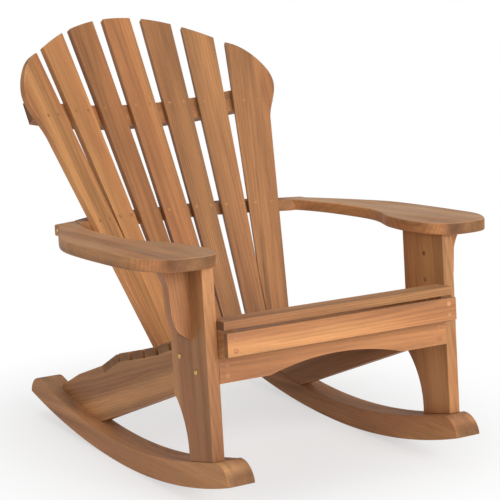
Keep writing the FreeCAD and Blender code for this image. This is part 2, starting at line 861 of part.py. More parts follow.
def screw_shapes(label, length, sink):
    """A screw with its head at the depth sink, the bore for it and the plug over it."""
    head = 0.5 * size("screw_head")
    shank = 0.5 * size("screw_shank")
    gap = size("bore_gap")
    taper = sink + size("screw_head_height")
    end = sink + length
    screw = turned(label + "_screw", (0.0, -sink), [
        ("line", (head, -sink)),
        ("line", (head, -sink - 1)),
        ("line", (shank, -taper)),
        ("line", (shank, -end + shank)),
        ("line", (0.0, -end)),
        ("line", (0.0, -sink)),
    ])
    mouth = 0.5 * size("plug_width") + gap if sink else head + gap
    bore = turned(label + "_bore", (0.0, 0.0), [
        ("line", (mouth, 0.0)),
        ("line", (mouth, -max(sink, 0.5))),
        ("line", (head + gap, -max(sink, 0.5))),
        ("line", (head + gap, -sink - 1)),
        ("line", (shank + gap, -taper)),
        ("line", (shank + gap, -end)),
        ("line", (0.0, -end)),
        ("line", (0.0, 0.0)),
    ]) if sink else turned(label + "_bore", (0.0, 0.0), [
        ("line", (head + gap, 0.0)),
        ("line", (head + gap, -1)),
        ("line", (shank + gap, -taper)),
        ("line", (shank + gap, -end)),
        ("line", (0.0, -end)),
        ("line", (0.0, 0.0)),
    ])
    return screw, bore


bores = {}
groups = {}


def place(shape, point, into):
    """A copy of a turned shape with its top at the point, driven in the given direction."""
    turn = FreeCAD.Rotation(V(0, 0, -1), into)
    copy = shape.copy()
    copy.Placement = FreeCAD.Placement(point, turn)
    return copy


def drive(group, length_alias, spots, sink_alias="", plugs=""):
    """Screws of one group. A spot is (point, direction, labels of the boards it enters)."""
    sink = size(sink_alias) if sink_alias else 0.0
    screw, bore = screw_shapes(group, size(length_alias), sink)
    plug = None
    if plugs:
        plug = Part.makeCylinder(0.5 * size("plug_width"), sink, V(0, 0, -sink))
    for point, into, boards in spots:
        groups.setdefault(group, []).append(place(screw, point, into))
        if plug:
            groups.setdefault(plugs, []).append(place(plug, point, into))
        for board in boards:
            bores.setdefault(board, []).append(place(bore, point, into))


def hand_of(side):
    return "left" if side < 0 else "right"


def back_spots(lengths, rail):
    spots = []
    for k in range(-3, 4):
        start, side, along, facing = slat_frame(k)
        for way in (-0.5, 0.5):
            point = start + along * lengths(k) + side * (way * size("back_screw_spread"))
            spots.append((point, -facing, ["back_slat_%d" % (k + 4), rail]))
    return spots


def upper_length(k):
    return size("upper_rail_rise") + 0.5 * size("upper_rail_height") + size("upper_screw_shift")


def to_plane(k, point, normal):
    """Length along slat k whose screw meets the middle plane of a rail."""
    start, side, along, facing = slat_frame(k)
    aim = start - facing * (size("back_board") + size("rail_screw_bite"))
    return (point - aim).dot(normal) / along.dot(normal)


def middle_length(k):
    return to_plane(k, V(0, 0, size("arm_height")) - arm_up * (0.5 * size("arm_board")), arm_up)


def lower_length(k):
    up = V(0, -lower_run.z, lower_run.y)
    return to_plane(k, lower_start - up * (0.5 * size("seat_board")), up)


def seat_spots():
    spots = []
    for index in range(8):
        corner, run, width = seat_place(index)
        for side in (-1, 1):
            x = side * (0.5 * (rail_inner + rail_outer) + size("screw_line_shift"))
            for way in (-0.5, 0.5):
                point = corner + V(x, 0, 0) + run * (0.5 * width + way * size("seat_screw_spread"))
                spots.append((point, below(run), [seat_names[index], hand_of(side) + "_side_rail"]))
    return spots


def arm_spots():
    """Into each leg twice and once into the bracket."""
    spots = []
    for side in (-1, 1):
        hand = hand_of(side)
        leg_x = side * (leg_outer - 0.5 * size("leg_board"))
        bracket_x = side * (leg_outer + 0.45 * size("bracket_body"))
        bracket_back = size("bracket_setback") + 0.5 * size("bracket_board")
        for x, back, board in ((leg_x, size("arm_screw_front"), "_front_leg"),
                               (leg_x, size("arm_screw_rear"), "_front_leg"),
                               (bracket_x, bracket_back, "_arm_bracket")):
            y, z = on_leg(leg_to_arm(back), back)
            point = V(x, y, z) + arm_up * size("arm_board")
            spots.append((point, -arm_up, [hand + "_arm", hand + board]))
    return spots


def arm_end_spots():
    """From the arm's outer edge near its rear end into the end of the cross rail."""
    spots = []
    for side in (-1, 1):
        start = V(side * size("arm_end_half"), 0, size("arm_height"))
        reach = arm_rear() - 0.5 * size("arm_end_flat")
        point = start + arm_back * reach - arm_up * (0.5 * size("arm_board"))
        spots.append((point, V(-side, 0, 0), [hand_of(side) + "_arm", "middle_back_rail"]))
    return spots


def bracket_spots():
    """From the leg's inner face into the bracket."""
    spots = []
    foot, head = bracket_ends()
    edge = size("bracket_screw_edge")
    for side in (-1, 1):
        back = size("bracket_setback") + 0.5 * size("bracket_board")
        for rise in (head - edge, foot + edge):
            y, z = on_leg(rise, back)
            point = V(side * leg_inner, y, z)
            hand = hand_of(side)
            spots.append((point, V(side, 0, 0), [hand + "_front_leg", hand + "_arm_bracket"]))
    return spots


def front_spots():
    """Skirt to the rails' front ends, apron to the notch faces."""
    spots = []
    start, steps = rail_steps()
    skirt_front = V(0, start[0], start[1]) - leg_back * size("skirt_board")
    skirt_middle = skirt_front - leg_up * (0.5 * size("skirt_height") + size("skirt_drop"))
    apron_middle = leg_foot + leg_up * (size("apron_foot") + 0.5 * size("apron_height"))
    for side in (-1, 1):
        x = side * (0.5 * (rail_inner + rail_outer) - size("screw_line_shift"))
        rail = hand_of(side) + "_side_rail"
        for way in (-0.5, 0.5):
            shift = leg_up * (way * size("skirt_screw_spread"))
            spots.append((skirt_middle + shift + V(x, 0, 0), leg_back, ["front_skirt", rail]))
            spots.append((apron_middle + shift + V(x, 0, 0), leg_back, ["front_apron", rail]))
    return spots


def rocker_spots():
    """Up through the sole into the leg's foot and the rail's tail."""
    spots = []
    low = size("rail_low_rear")
    tail = size("rail_tail")
    for side in (-1, 1):
        hand = hand_of(side)
        leg_x = side * (leg_outer - 0.5 * size("leg_board"))
        rail_x = side * 0.5 * (rail_inner + rail_outer)
        front = size("leg_foot_front")
        depth = size("leg_foot_depth")
        for x, y, board in ((leg_x, front + 0.27 * depth, "_front_leg"),
                            (leg_x, front + 0.73 * depth, "_front_leg"),
                            (rail_x, low + 0.3 * (tail - low), "_side_rail"),
                            (rail_x, low + 0.75 * (tail - low), "_side_rail")):
            radius = size("sole_radius_front") if y < rest else size("sole_radius_rear")
            slope = (y - rest) / radius
            into = V(0, -slope, math.sqrt(1 - slope * slope))
            spots.append((V(x, y, sole(y)), into, [hand + "_rocker", hand + board]))
    return spots


def notch_spots():
    """Lower back rail to the side rails, from above."""
    spots = []
    for side in (-1, 1):
        x = side * 0.5 * (rail_inner + rail_outer)
        for way in (-0.5, 0.5):
            reach = 0.56 * size("lower_rail_width") + way * size("notch_screw_spread")
            point = lower_start + lower_run * reach + V(x, 0, 0)
            spots.append((point, below(lower_run), ["lower_back_rail", hand_of(side) + "_side_rail"]))
    return spots


def make_bolts():
    """Low domed bolts through leg and side rail, each with a nut inside the rail."""
    head = 0.5 * size("bolt_head")
    shank = 0.5 * size("bolt_shank")
    height = size("bolt_head_height")
    gap = size("bore_gap")
    grip = size("leg_board") + size("rail_board")
    end = grip + size("nut_height") + size("bolt_end")
    bolt = turned("leg_bolt_master", (0.0, height), [
        ("arc", (0.62 * head, 0.82 * height), (head, 0.25 * height)),
        ("line", (head, 0.0)),
        ("line", (shank, 0.0)),
        ("line", (shank, -end)),
        ("line", (0.0, -end)),
        ("line", (0.0, height)),
    ])
    bore = Part.makeCylinder(shank + gap, grip, V(0, 0, -grip))
    corners = []
    for i in range(7):
        turn = math.radians(60 * i)
        reach = 0.5 * size("nut_width") / math.cos(math.radians(30))
        corners.append(V(reach * math.cos(turn), reach * math.sin(turn), -grip))
    hexagon = Part.Face(Part.makePolygon(corners)).extrude(V(0, 0, -size("nut_height")))
    nut = hexagon.cut(Part.makeCylinder(shank + gap, grip, V(0, 0, -grip - size("nut_height"))))
    for side in (-1, 1):
        hand = hand_of(side)
        for rise, back in ((size("bolt_one_rise"), size("bolt_one_back")),
                           (size("bolt_two_rise"), size("bolt_two_back"))):
            y, z = on_leg(rise, back)
            point = V(side * leg_outer, y, z)
            into = V(-side, 0, 0)
            groups.setdefault("leg_bolts", []).append(place(bolt, point, into))
            groups.setdefault("leg_bolt_nuts", []).append(place(nut, point, into))
            for board in (hand + "_front_leg", hand + "_side_rail"):
                bores.setdefault(board, []).append(place(bore, point, into))


# assembly

arm_block = doc.addObject("Part::Box", "arm_block")
arm_block.setExpression("Length", "2 * Sizes.clear_reach")
arm_block.setExpression("Width", "2 * Sizes.clear_reach")
arm_block.setExpression("Height", "Sizes.clear_reach")
arm_block.Placement = frame(
    V(-clear, 0, size("arm_height")) - arm_up * size("arm_board") - arm_back * clear,
    arm_side, arm_back, arm_up)

pieces = {}
for side in (-1, 1):
    hand = hand_of(side)
    pieces[hand + "_rocker"] = make_rocker(hand + "_rocker", side)
    pieces[hand + "_front_leg"] = make_leg(hand + "_front_leg", side)
    pieces[hand + "_side_rail"] = make_rail(hand + "_side_rail", side)
    pieces[hand + "_arm"] = make_arm(hand + "_arm", side)
    pieces[hand + "_arm_bracket"] = make_bracket(hand + "_arm_bracket", side)
for index in range(8):
    pieces[seat_names[index]] = make_seat_slat(index)
pieces["front_skirt"] = make_skirt()
pieces["front_apron"] = make_apron()
for k in range(-3, 4):
    pieces["back_slat_%d" % (k + 4)] = make_back_slat(k)
pieces["middle_back_rail"] = make_cross_rail()
pieces["lower_back_rail"] = make_lower_rail()
pieces["upper_back_rail"] = make_upper_rail()

drive("upper_back_screws", "back_screw_length", back_spots(upper_length, "upper_back_rail"))
drive("middle_back_screws", "back_screw_length", back_spots(middle_length, "middle_back_rail"))
drive("lower_back_screws", "back_screw_length", back_spots(lower_length, "lower_back_rail"))
drive("seat_screws", "seat_screw_length", seat_spots(), "plug_height", "seat_plugs")
drive("arm_screws", "arm_screw_length", arm_spots(), "plug_height", "arm_plugs")
drive("arm_end_screws", "arm_end_screw_length", arm_end_spots())
drive("bracket_screws", "bracket_screw_length", bracket_spots(), "plug_height", "bracket_plugs")
drive("front_board_screws", "front_screw_length", front_spots(), "plug_height", "front_board_plugs")
drive("rocker_screws", "rocker_screw_length", rocker_spots(), "rocker_screw_sink")
drive("lower_rail_screws", "notch_screw_length", notch_spots())
make_bolts()
doc.recompute()

for label, item in pieces.items():
    if label in bores:
        item.Label = label + "_blank"
        item = cut(label + "_piece", item, bores[label])
    keep(item, label)
for label, shapes in groups.items():
    item = doc.addObject("Part::Feature", label)
    item.Shape = Part.makeCompound(shapes)
    keep(item, label)
doc.recompute()

# checks and export

faulty = []
for item in doc.Objects:
    if "Invalid" in item.State or "Error" in item.State:
        faulty.append(item.Name)
for item in parts:
    if item.Shape.isNull() or not item.Shape.isValid():
        faulty.append(item.Label)
if faulty:
    raise RuntimeError("faulty objects: " + ", ".join(faulty))

os.makedirs("parts", exist_ok=True)
for item in parts:
    item.Shape.exportStep(os.path.join("parts", item.Label + ".step"))
    box = item.Shape.BoundBox
    print("%-20s solids %d  x %7.1f %7.1f  y %7.1f %7.1f  z %6.1f %6.1f" % (
        item.Label, len(item.Shape.Solids), box.XMin, box.XMax, box.YMin, box.YMax,
        box.ZMin, box.ZMax))
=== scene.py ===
import bmesh
import bpy
import numpy as np
from math import pi, radians
from mathutils import Matrix, Vector


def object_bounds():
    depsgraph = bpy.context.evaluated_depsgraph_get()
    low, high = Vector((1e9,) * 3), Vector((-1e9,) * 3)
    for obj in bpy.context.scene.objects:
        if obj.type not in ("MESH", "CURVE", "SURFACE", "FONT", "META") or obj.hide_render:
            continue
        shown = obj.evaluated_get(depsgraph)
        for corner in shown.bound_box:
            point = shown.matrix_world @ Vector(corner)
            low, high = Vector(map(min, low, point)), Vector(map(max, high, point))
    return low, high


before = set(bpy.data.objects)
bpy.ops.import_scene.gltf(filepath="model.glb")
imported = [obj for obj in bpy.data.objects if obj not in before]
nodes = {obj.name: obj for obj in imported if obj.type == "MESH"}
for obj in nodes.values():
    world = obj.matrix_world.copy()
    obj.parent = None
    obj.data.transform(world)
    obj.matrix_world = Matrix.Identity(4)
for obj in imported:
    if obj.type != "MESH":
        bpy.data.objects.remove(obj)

# Rocking adirondack chair in oiled teak. The boards come from the frame; here they get
# their wood, and the screws and bolts their brass. Metres, +Z up, the chair faces -Y.

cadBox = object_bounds()
scene = bpy.context.scene
print("chair: frame loaded,", len(nodes), "nodes")


# camera and studio

cameraSettings = {
    "place": (-1.958, -3.147, 1.197),
    "turn": (78.1, 0.0, -32.7),  # degrees
    "lens": 123.8,
    "sensor": 36.0,
}
studioSettings = {
    "aim": (0.0, 0.0, 0.42),
    "keyPlace": (0.3, -4.3, 1.9),
    "keySize": 2.6,
    "keyPower": 158.0,
    "topPlace": (-0.6, 0.6, 4.2),
    "topSize": 3.6,
    "topPower": 46.0,
    "sidePlace": (-4.2, -1.2, 1.9),
    "sideSize": 2.4,
    "sidePower": 34.0,
    "ambient": 0.37,
    "floorSize": 30.0,
    "floorColor": (0.86, 0.86, 0.86, 1.0),
    "floorLift": 0.58,  # how much of the floor's own white the camera sees near the chair
    "fadeStart": 0.30,  # metres from the middle of the chair
    "fadeEnd": 0.85,
}


def makeCamera():
    data = bpy.data.cameras.new("camera")
    data.lens = cameraSettings["lens"]
    data.sensor_width = cameraSettings["sensor"]
    camera = bpy.data.objects.new("camera", data)
    camera.location = cameraSettings["place"]
    camera.rotation_euler = [radians(angle) for angle in cameraSettings["turn"]]
    scene.collection.objects.link(camera)
    scene.camera = camera


def makeLamp(name, place, width, power):
    data = bpy.data.lights.new(name, "AREA")
    data.shape = "DISK"
    data.size = width
    data.energy = power
    lamp = bpy.data.objects.new(name, data)
    lamp.location = place
    aim = Vector(studioSettings["aim"]) - Vector(place)
    lamp.rotation_euler = aim.to_track_quat("-Z", "Y").to_euler()
    scene.collection.objects.link(lamp)


def addNode(tree, kind, **settings):
    node = tree.nodes.new(kind)
    for name, value in settings.items():
        setattr(node, name, value)
    return node


# a number or colour is set on the socket, anything else is wired to it
def feed(tree, socket, source):
    if isinstance(source, bpy.types.NodeSocket):
        tree.links.new(source, socket)
    else:
        socket.default_value = source


def calc(tree, operation, *values, clamp=False):
    node = addNode(tree, "ShaderNodeMath", operation=operation, use_clamp=clamp)
    for socket, value in zip(node.inputs, values):
        feed(tree, socket, value)
    return node.outputs[0]


def remap(tree, value, low, high, newLow, newHigh, smooth=False):
    node = addNode(tree, "ShaderNodeMapRange", clamp=True)
    if smooth:
        node.interpolation_type = "SMOOTHSTEP"
    for socket, item in zip(node.inputs, (value, low, high, newLow, newHigh)):
        feed(tree, socket, item)
    return node.outputs["Result"]


# the mix node has sockets for every data type: 6 and 7 are its colours, 2 the result
def blendColor(tree, factor, first, second):
    node = addNode(tree, "ShaderNodeMix", data_type="RGBA")
    feed(tree, node.inputs[0], factor)
    feed(tree, node.inputs[6], first)
    feed(tree, node.inputs[7], second)
    return node.outputs[2]


def stretched(tree, vector, scales):
    node = addNode(tree, "ShaderNodeVectorMath", operation="MULTIPLY")
    feed(tree, node.inputs[0], vector)
    node.inputs[1].default_value = scales
    return node.outputs[0]


# noise drawn out along the board by the three scales, in cells per metre
def cloud(tree, vector, seed, scales, detail=3.0, rough=0.5, warp=0.0):
    node = addNode(tree, "ShaderNodeTexNoise", noise_dimensions="4D")
    feed(tree, node.inputs["Vector"], stretched(tree, vector, scales))
    feed(tree, node.inputs["W"], seed)
    node.inputs["Scale"].default_value = 1.0
    node.inputs["Detail"].default_value = detail
    node.inputs["Roughness"].default_value = rough
    node.inputs["Distortion"].default_value = warp
    return node.outputs[0]


def makeFloor():
    size = studioSettings["floorSize"]
    shape = bmesh.new()
    bmesh.ops.create_grid(shape, x_segments=1, y_segments=1, size=0.5 * size)
    bmesh.ops.translate(shape, verts=shape.verts, vec=(0, 0, cadBox[0].z))
    data = bpy.data.meshes.new("floor")
    shape.to_mesh(data)
    shape.free()
    floor = bpy.data.objects.new("floor", data)
    scene.collection.objects.link(floor)

    paint = bpy.data.materials.new("studioFloor")
    paint.use_nodes = True
    tree = paint.node_tree
    tree.nodes.clear()
    matt = addNode(tree, "ShaderNodeBsdfDiffuse")
    matt.inputs["Color"].default_value = studioSettings["floorColor"]
    white = addNode(tree, "ShaderNodeEmission")
    path = addNode(tree, "ShaderNodeLightPath")
    seen = calc(tree, "MAXIMUM", path.outputs["Is Camera Ray"], path.outputs["Is Glossy Ray"])
    seen = calc(tree, "MAXIMUM", seen, path.outputs["Is Transmission Ray"])
    coords = addNode(tree, "ShaderNodeTexCoord")
    reach = addNode(tree, "ShaderNodeVectorMath", operation="LENGTH")
    feed(tree, reach.inputs[0], coords.outputs["Object"])
    lift = remap(tree, reach.outputs["Value"], studioSettings["fadeStart"],
                 studioSettings["fadeEnd"], studioSettings["floorLift"], 1.0, True)
    share = calc(tree, "MULTIPLY", seen, lift)
    both = addNode(tree, "ShaderNodeMixShader")
    out = addNode(tree, "ShaderNodeOutputMaterial")
    feed(tree, both.inputs[0], share)
    feed(tree, both.inputs[1], matt.outputs[0])
    feed(tree, both.inputs[2], white.outputs[0])
    feed(tree, out.inputs["Surface"], both.outputs[0])
    data.materials.append(paint)


def makeSky():
    world = bpy.data.worlds.new("studio")
    world.use_nodes = True
    tree = world.node_tree
    tree.nodes.clear()
    path = addNode(tree, "ShaderNodeLightPath")
    seen = calc(tree, "MAXIMUM", path.outputs["Is Camera Ray"],
                path.outputs["Is Transmission Ray"])
    sky = addNode(tree, "ShaderNodeBackground")
    sky.inputs["Color"].default_value = (1.0, 1.0, 1.0, 1.0)
    strength = remap(tree, seen, 0.0, 1.0, studioSettings["ambient"], 1.0)
    feed(tree, sky.inputs["Strength"], strength)
    out = addNode(tree, "ShaderNodeOutputWorld")
    feed(tree, out.inputs["Surface"], sky.outputs[0])
    scene.world = world


makeCamera()
for lampName in ("key", "top", "side"):
    makeLamp(lampName, studioSettings[lampName + "Place"], studioSettings[lampName + "Size"],
             studioSettings[lampName + "Power"])
makeFloor()
makeSky()
scene.view_settings.view_transform = "Standard"
print("chair: camera, lamps and floor made")


# shared effects, as node groups

# screen values from 0 to 255, as the shader's linear colour
def linearColor(red, green, blue):
    parts = []
    for value in (red, green, blue):
        part = value / 255
        parts.append(part / 12.92 if part <= 0.04045 else ((part + 0.055) / 1.055) ** 2.4)
    return (*parts, 1.0)


def newGroup(name, inputs, outputs):
    group = bpy.data.node_groups.new(name, "ShaderNodeTree")
    for title, kind in inputs:
        group.interface.new_socket(name=title, in_out="INPUT", socket_type="NodeSocket" + kind)
    for title, kind in outputs:
        group.interface.new_socket(name=title, in_out="OUTPUT", socket_type="NodeSocket" + kind)
    return group, addNode(group, "NodeGroupInput").outputs, addNode(group, "NodeGroupOutput").inputs


# scales are cells per metre along, across and through the board; shades say how much
# darker a feature makes the wood
grainFigure = {
    "wanderScale": (1.0, 6.0, 6.0),
    "wander": 0.018,  # metres that the pith strays
    "lean": 0.012,  # slope of the rings along the board
    "ringSharpness": 2.2,
    "ringShade": -0.26,
    "cloudScale": (1.2, 30.0, 30.0),
    "heartScale": (1.5, 15.0, 15.0),
    "streakScale": (2.6, 62.0, 62.0),
    "streakShade": -0.44,
    "fibreScale": (16.0, 420.0, 420.0),
    "poreScale": (55.0, 1300.0, 1300.0),
    "poreShade": -0.18,
    "endShade": -0.48,
}


# sawn teak: X runs along the board, Y across it and Z through it, in metres
def makeGrainGroup():
    group, given, result = newGroup(
        "teakGrain",
        [("Vector", "Vector"), ("Facing", "Vector"), ("Seed", "Float"), ("Pith Side", "Float"),
         ("Pith Depth", "Float"), ("Ring Width", "Float"), ("Color", "Color"),
         ("Streak Color", "Color"), ("Streaks", "Float")],
        [("Color", "Color"), ("Roughness", "Float"), ("Height", "Float"), ("End Grain", "Float")])
    vector = given["Vector"]
    seed = given["Seed"]
    axes = addNode(group, "ShaderNodeSeparateXYZ")
    feed(group, axes.inputs[0], vector)

    # growth rings round a pith that lies outside the board and wanders along it
    wander = cloud(group, vector, seed, grainFigure["wanderScale"], detail=2.0)
    wander = calc(group, "MULTIPLY_ADD", wander, grainFigure["wander"], -0.5 * grainFigure["wander"])
    acrossPith = calc(group, "SUBTRACT", axes.outputs["Y"], given["Pith Side"])
    depthPith = calc(group, "SUBTRACT", axes.outputs["Z"], given["Pith Depth"])
    square = calc(group, "ADD", calc(group, "MULTIPLY", acrossPith, acrossPith),
                  calc(group, "MULTIPLY", depthPith, depthPith))
    reach = calc(group, "ADD", calc(group, "SQRT", square), wander)
    reach = calc(group, "MULTIPLY_ADD", axes.outputs["X"], grainFigure["lean"], reach)
    turns = calc(group, "DIVIDE", reach, given["Ring Width"])
    wave = calc(group, "SINE", calc(group, "MULTIPLY", turns, 2 * pi))
    ring = calc(group, "POWER", calc(group, "MULTIPLY_ADD", wave, 0.5, 0.5),
                grainFigure["ringSharpness"])
    ringStrength = cloud(group, vector, calc(group, "ADD", seed, 3.1), (2.0, 14.0, 14.0))
    ring = calc(group, "MULTIPLY", ring, remap(group, ringStrength, 0.32, 0.66, 0.25, 1.0))

    # long clouds of light and dark, reddish heartwood, thin mineral streaks, pores
    broad = cloud(group, vector, calc(group, "ADD", seed, 7.7), grainFigure["cloudScale"],
                  4.0, 0.55, 0.3)
    heart = cloud(group, vector, calc(group, "ADD", seed, 12.3), grainFigure["heartScale"], 3.0)
    streak = cloud(group, vector, calc(group, "ADD", seed, 19.9), grainFigure["streakScale"],
                   3.0, 0.6, 0.3)
    fibre = cloud(group, vector, calc(group, "ADD", seed, 23.5), grainFigure["fibreScale"],
                  2.0, 0.6)
    pore = cloud(group, vector, calc(group, "ADD", seed, 31.1), grainFigure["poreScale"], 1.0)
    pores = remap(group, pore, 0.60, 0.72, 0.0, 1.0)

    # the sawn ends: short fibres seen from the end, darker and duller
    tip = addNode(group, "ShaderNodeSeparateXYZ")
    feed(group, tip.inputs[0], given["Facing"])
    endGrain = remap(group, calc(group, "ABSOLUTE", tip.outputs["X"]), 0.55, 0.90, 0.0, 1.0, True)

    streakMask = remap(group, streak, 0.53, 0.70, 0.0, 1.0)
    streakMask = calc(group, "MULTIPLY", streakMask, given["Streaks"])
    redMask = remap(group, heart, 0.40, 0.62, 0.0, 0.95)
    color = blendColor(group, redMask, given["Color"], given["Streak Color"])
    shade = remap(group, broad, 0.30, 0.70, 0.66, 1.30)
    shade = calc(group, "MULTIPLY", shade, calc(group, "MULTIPLY_ADD", ring, grainFigure["ringShade"], 1.08))
    shade = calc(group, "MULTIPLY", shade, remap(group, fibre, 0.3, 0.7, 0.90, 1.08))
    for mask, amount, level in ((pores, "poreShade", 1.02), (streakMask, "streakShade", 1.02),
                                (endGrain, "endShade", 1.0)):
        part = calc(group, "MULTIPLY_ADD", mask, grainFigure[amount], level)
        shade = calc(group, "MULTIPLY", shade, part)
    dull = addNode(group, "ShaderNodeVectorMath", operation="SCALE")
    feed(group, dull.inputs[0], color)
    feed(group, dull.inputs["Scale"], shade)
    feed(group, result["Color"], dull.outputs[0])

    rough = remap(group, broad, 0.3, 0.7, 0.62, 0.50)
    rough = calc(group, "ADD", rough, calc(group, "MULTIPLY", pores, 0.12))
    rough = calc(group, "MULTIPLY_ADD", endGrain, 0.14, rough, clamp=True)
    feed(group, result["Roughness"], rough)
    height = calc(group, "MULTIPLY_ADD", ring, -0.35, calc(group, "MULTIPLY", fibre, 0.6))
    height = calc(group, "MULTIPLY_ADD", pores, -0.5, height)
    feed(group, result["Height"], height)
    feed(group, result["End Grain"], endGrain)
    return group


wearSettings = {
    "reach": 0.0035,  # metres in from a corner
    "breakScale": (26.0, 60.0, 60.0),
    "share": 0.35,  # how far a rubbed corner turns to the worn colour
}


# where the eased corners are: rubbed paler there, broken up along the edge
def makeWearGroup():
    group, given, result = newGroup(
        "edgeWear", [("Vector", "Vector"), ("Seed", "Float")], [("Mask", "Float")])
    soft = addNode(group, "ShaderNodeBevel", samples=4)
    soft.inputs["Radius"].default_value = wearSettings["reach"]
    plain = addNode(group, "ShaderNodeNewGeometry")
    dot = addNode(group, "ShaderNodeVectorMath", operation="DOT_PRODUCT")
    feed(group, dot.inputs[0], soft.outputs[0])
    feed(group, dot.inputs[1], plain.outputs["Normal"])
    corner = remap(group, dot.outputs["Value"], 0.99, 0.88, 0.0, 1.0)
    breakUp = cloud(group, given["Vector"], given["Seed"], wearSettings["breakScale"], 3.0, 0.6)
    broken = remap(group, breakUp, 0.3, 0.62, 0.2, 1.0)
    feed(group, result["Mask"], calc(group, "MULTIPLY", corner, broken))
    return group


# faintly grey patches on faces that look up, partly dry weathering as on wood kept outdoors and partly
# painted sheen: the tops are made paler in colour where a lamp's sheen would show
def makeDrySheenGroup():
    group, given, result = newGroup(
        "dryPatchesAndPaintedSheen", [("Vector", "Vector"), ("Seed", "Float")], [("Mask", "Float")])
    coords = addNode(group, "ShaderNodeTexCoord")
    parts = addNode(group, "ShaderNodeSeparateXYZ")
    feed(group, parts.inputs[0], coords.outputs["Normal"])
    upward = remap(group, parts.outputs["Z"], 0.5, 0.95, 0.0, 1.0, True)
    patches = cloud(group, given["Vector"], given["Seed"], (7.0, 18.0, 18.0), 4.0, 0.6)
    patchy = remap(group, patches, 0.35, 0.7, 0.25, 1.0)
    feed(group, result["Mask"], calc(group, "MULTIPLY", upward, patchy))
    return group


grainGroup = makeGrainGroup()
wearGroup = makeWearGroup()
drySheenGroup = makeDrySheenGroup()
print("chair: node groups made")


# the boards' wood

teak = {
    "body": (180, 128, 78),
    "heart": (156, 101, 60),
    "worn": (198, 152, 106),
    # pale grey-tan for the tops: dry weathering, and painted sheen
    "dry": (212, 187, 160),
    "dryAndSheenShare": 0.18,  # share of the pale colour on faces that look up, dry weathering and painted sheen together, unless the board has its own
    "gloss": 0.42,
    "seedStep": 1.37,  # keeps the boards' patterns apart
    "ringWidth": 0.0046,
    "bumpDepth": 0.0005,
    "bumpStrength": 0.45,
}

# light: how bright the board is; heart: how red; pith: across and through, in metres;
# and where given, its own share of the pale colour on top, which paints dry weathering and sheen
boardLooks = {
    "back_slat_1": {"light": 1.12, "heart": 0.10, "pith": (0.05, 0.10), "streaks": 0.3},
    "back_slat_2": {"light": 1.10, "heart": 0.25, "pith": (-0.10, 0.06), "streaks": 0.2},
    "back_slat_3": {"light": 0.90, "heart": 0.75, "pith": (0.02, 0.08), "streaks": 0.5},
    "back_slat_4": {"light": 0.98, "heart": 0.65, "pith": (-0.03, 0.07), "streaks": 0.5},
    "back_slat_5": {"light": 0.82, "heart": 0.45, "pith": (0.09, 0.05), "streaks": 0.6},
    "back_slat_6": {"light": 0.86, "heart": 0.40, "pith": (-0.06, 0.09), "streaks": 0.6},
    "back_slat_7": {"light": 0.93, "heart": 0.55, "pith": (0.03, 0.06), "streaks": 0.9},
    # the arms and the nosing get their own share of painted sheen on top, the right arm the most
    "left_arm": {"light": 1.00, "heart": 0.30, "pith": (0.26, 0.02), "streaks": 0.4, "dry": 0.26},
    "right_arm": {"light": 1.08, "heart": 0.20, "pith": (0.20, 0.05), "streaks": 0.3, "dry": 0.42},
    "left_front_leg": {"light": 0.94, "heart": 0.30, "pith": (0.10, 0.08), "streaks": 0.5},
    "right_front_leg": {"light": 0.98, "heart": 0.30, "pith": (0.14, 0.06), "streaks": 0.5},
    "left_side_rail": {"light": 1.02, "heart": 0.30, "pith": (0.08, 0.12), "streaks": 0.4},
    "right_side_rail": {"light": 0.96, "heart": 0.45, "pith": (-0.05, 0.10), "streaks": 0.4},
    "left_rocker": {"light": 0.97, "heart": 0.35, "pith": (0.12, 0.04), "streaks": 0.6},
    "right_rocker": {"light": 1.02, "heart": 0.40, "pith": (-0.10, 0.05), "streaks": 0.6},
    "left_arm_bracket": {"light": 1.04, "heart": 0.60, "pith": (0.05, 0.05), "streaks": 0.4},
    "right_arm_bracket": {"light": 1.00, "heart": 0.40, "pith": (0.05, 0.06), "streaks": 0.4},
    "nosing_slat": {"light": 0.89, "heart": 0.20, "pith": (0.01, 0.05), "streaks": 0.3, "dry": 0.12},
    "front_skirt": {"light": 1.10, "heart": 0.10, "pith": (0.02, 0.04), "streaks": 0.2},
    "front_apron": {"light": 1.06, "heart": 0.70, "pith": (-0.02, 0.06), "streaks": 0.4},
    "middle_back_rail": {"light": 0.92, "heart": 0.45, "pith": (0.16, 0.05), "streaks": 0.4},
    "lower_back_rail": {"light": 0.94, "heart": 0.45, "pith": (-0.10, 0.06), "streaks": 0.4},
    "upper_back_rail": {"light": 0.92, "heart": 0.50, "pith": (0.05, 0.07), "streaks": 0.4},
}
for number in range(2, 9):  # the seat slats alternate between paler and redder boards
    boardLooks["seat_slat_%d" % number] = {
        "light": 1.0 + 0.04 * (-1) ** number,
        "heart": 0.25 + 0.07 * (number % 4),
        "pith": (0.04 * (number % 3 - 1), 0.05 + 0.01 * (number % 4)),
        "streaks": 0.4,
    }


# the board's own axes, from the spread of its surface, and its middle
def boardTurn(item):
    mesh = item.data
    mesh.calc_loop_triangles()
    corners = np.array([tri.vertices for tri in mesh.loop_triangles])
    points = np.array([vert.co for vert in mesh.vertices])[corners]
    areas = np.array([tri.area for tri in mesh.loop_triangles])
    middle = np.average(points.mean(axis=1), axis=0, weights=areas)
    points = points - middle
    sums = points.sum(axis=1)
    spread = np.einsum("n,nij,nik->jk", areas, points, points)
    spread += np.einsum("n,nj,nk->jk", areas, sums, sums)
    axes = np.linalg.eigh(spread)[1]
    along = Vector(axes[:, 2])
    if max(along, key=abs) < 0:
        along = -along
    across = Vector(axes[:, 1])
    if max(across, key=abs) < 0:
        across = -across
    through = along.cross(across)
    turn = Matrix((along, across, through))
    return turn, Vector(middle)


def placed(tree, source, turn, shift=None):
    node = addNode(tree, "ShaderNodeMapping", vector_type="POINT" if shift else "VECTOR")
    node.inputs["Rotation"].default_value = turn.to_euler("XYZ")
    if shift:
        node.inputs["Location"].default_value = shift
    feed(tree, node.inputs["Vector"], source)
    return node.outputs[0]


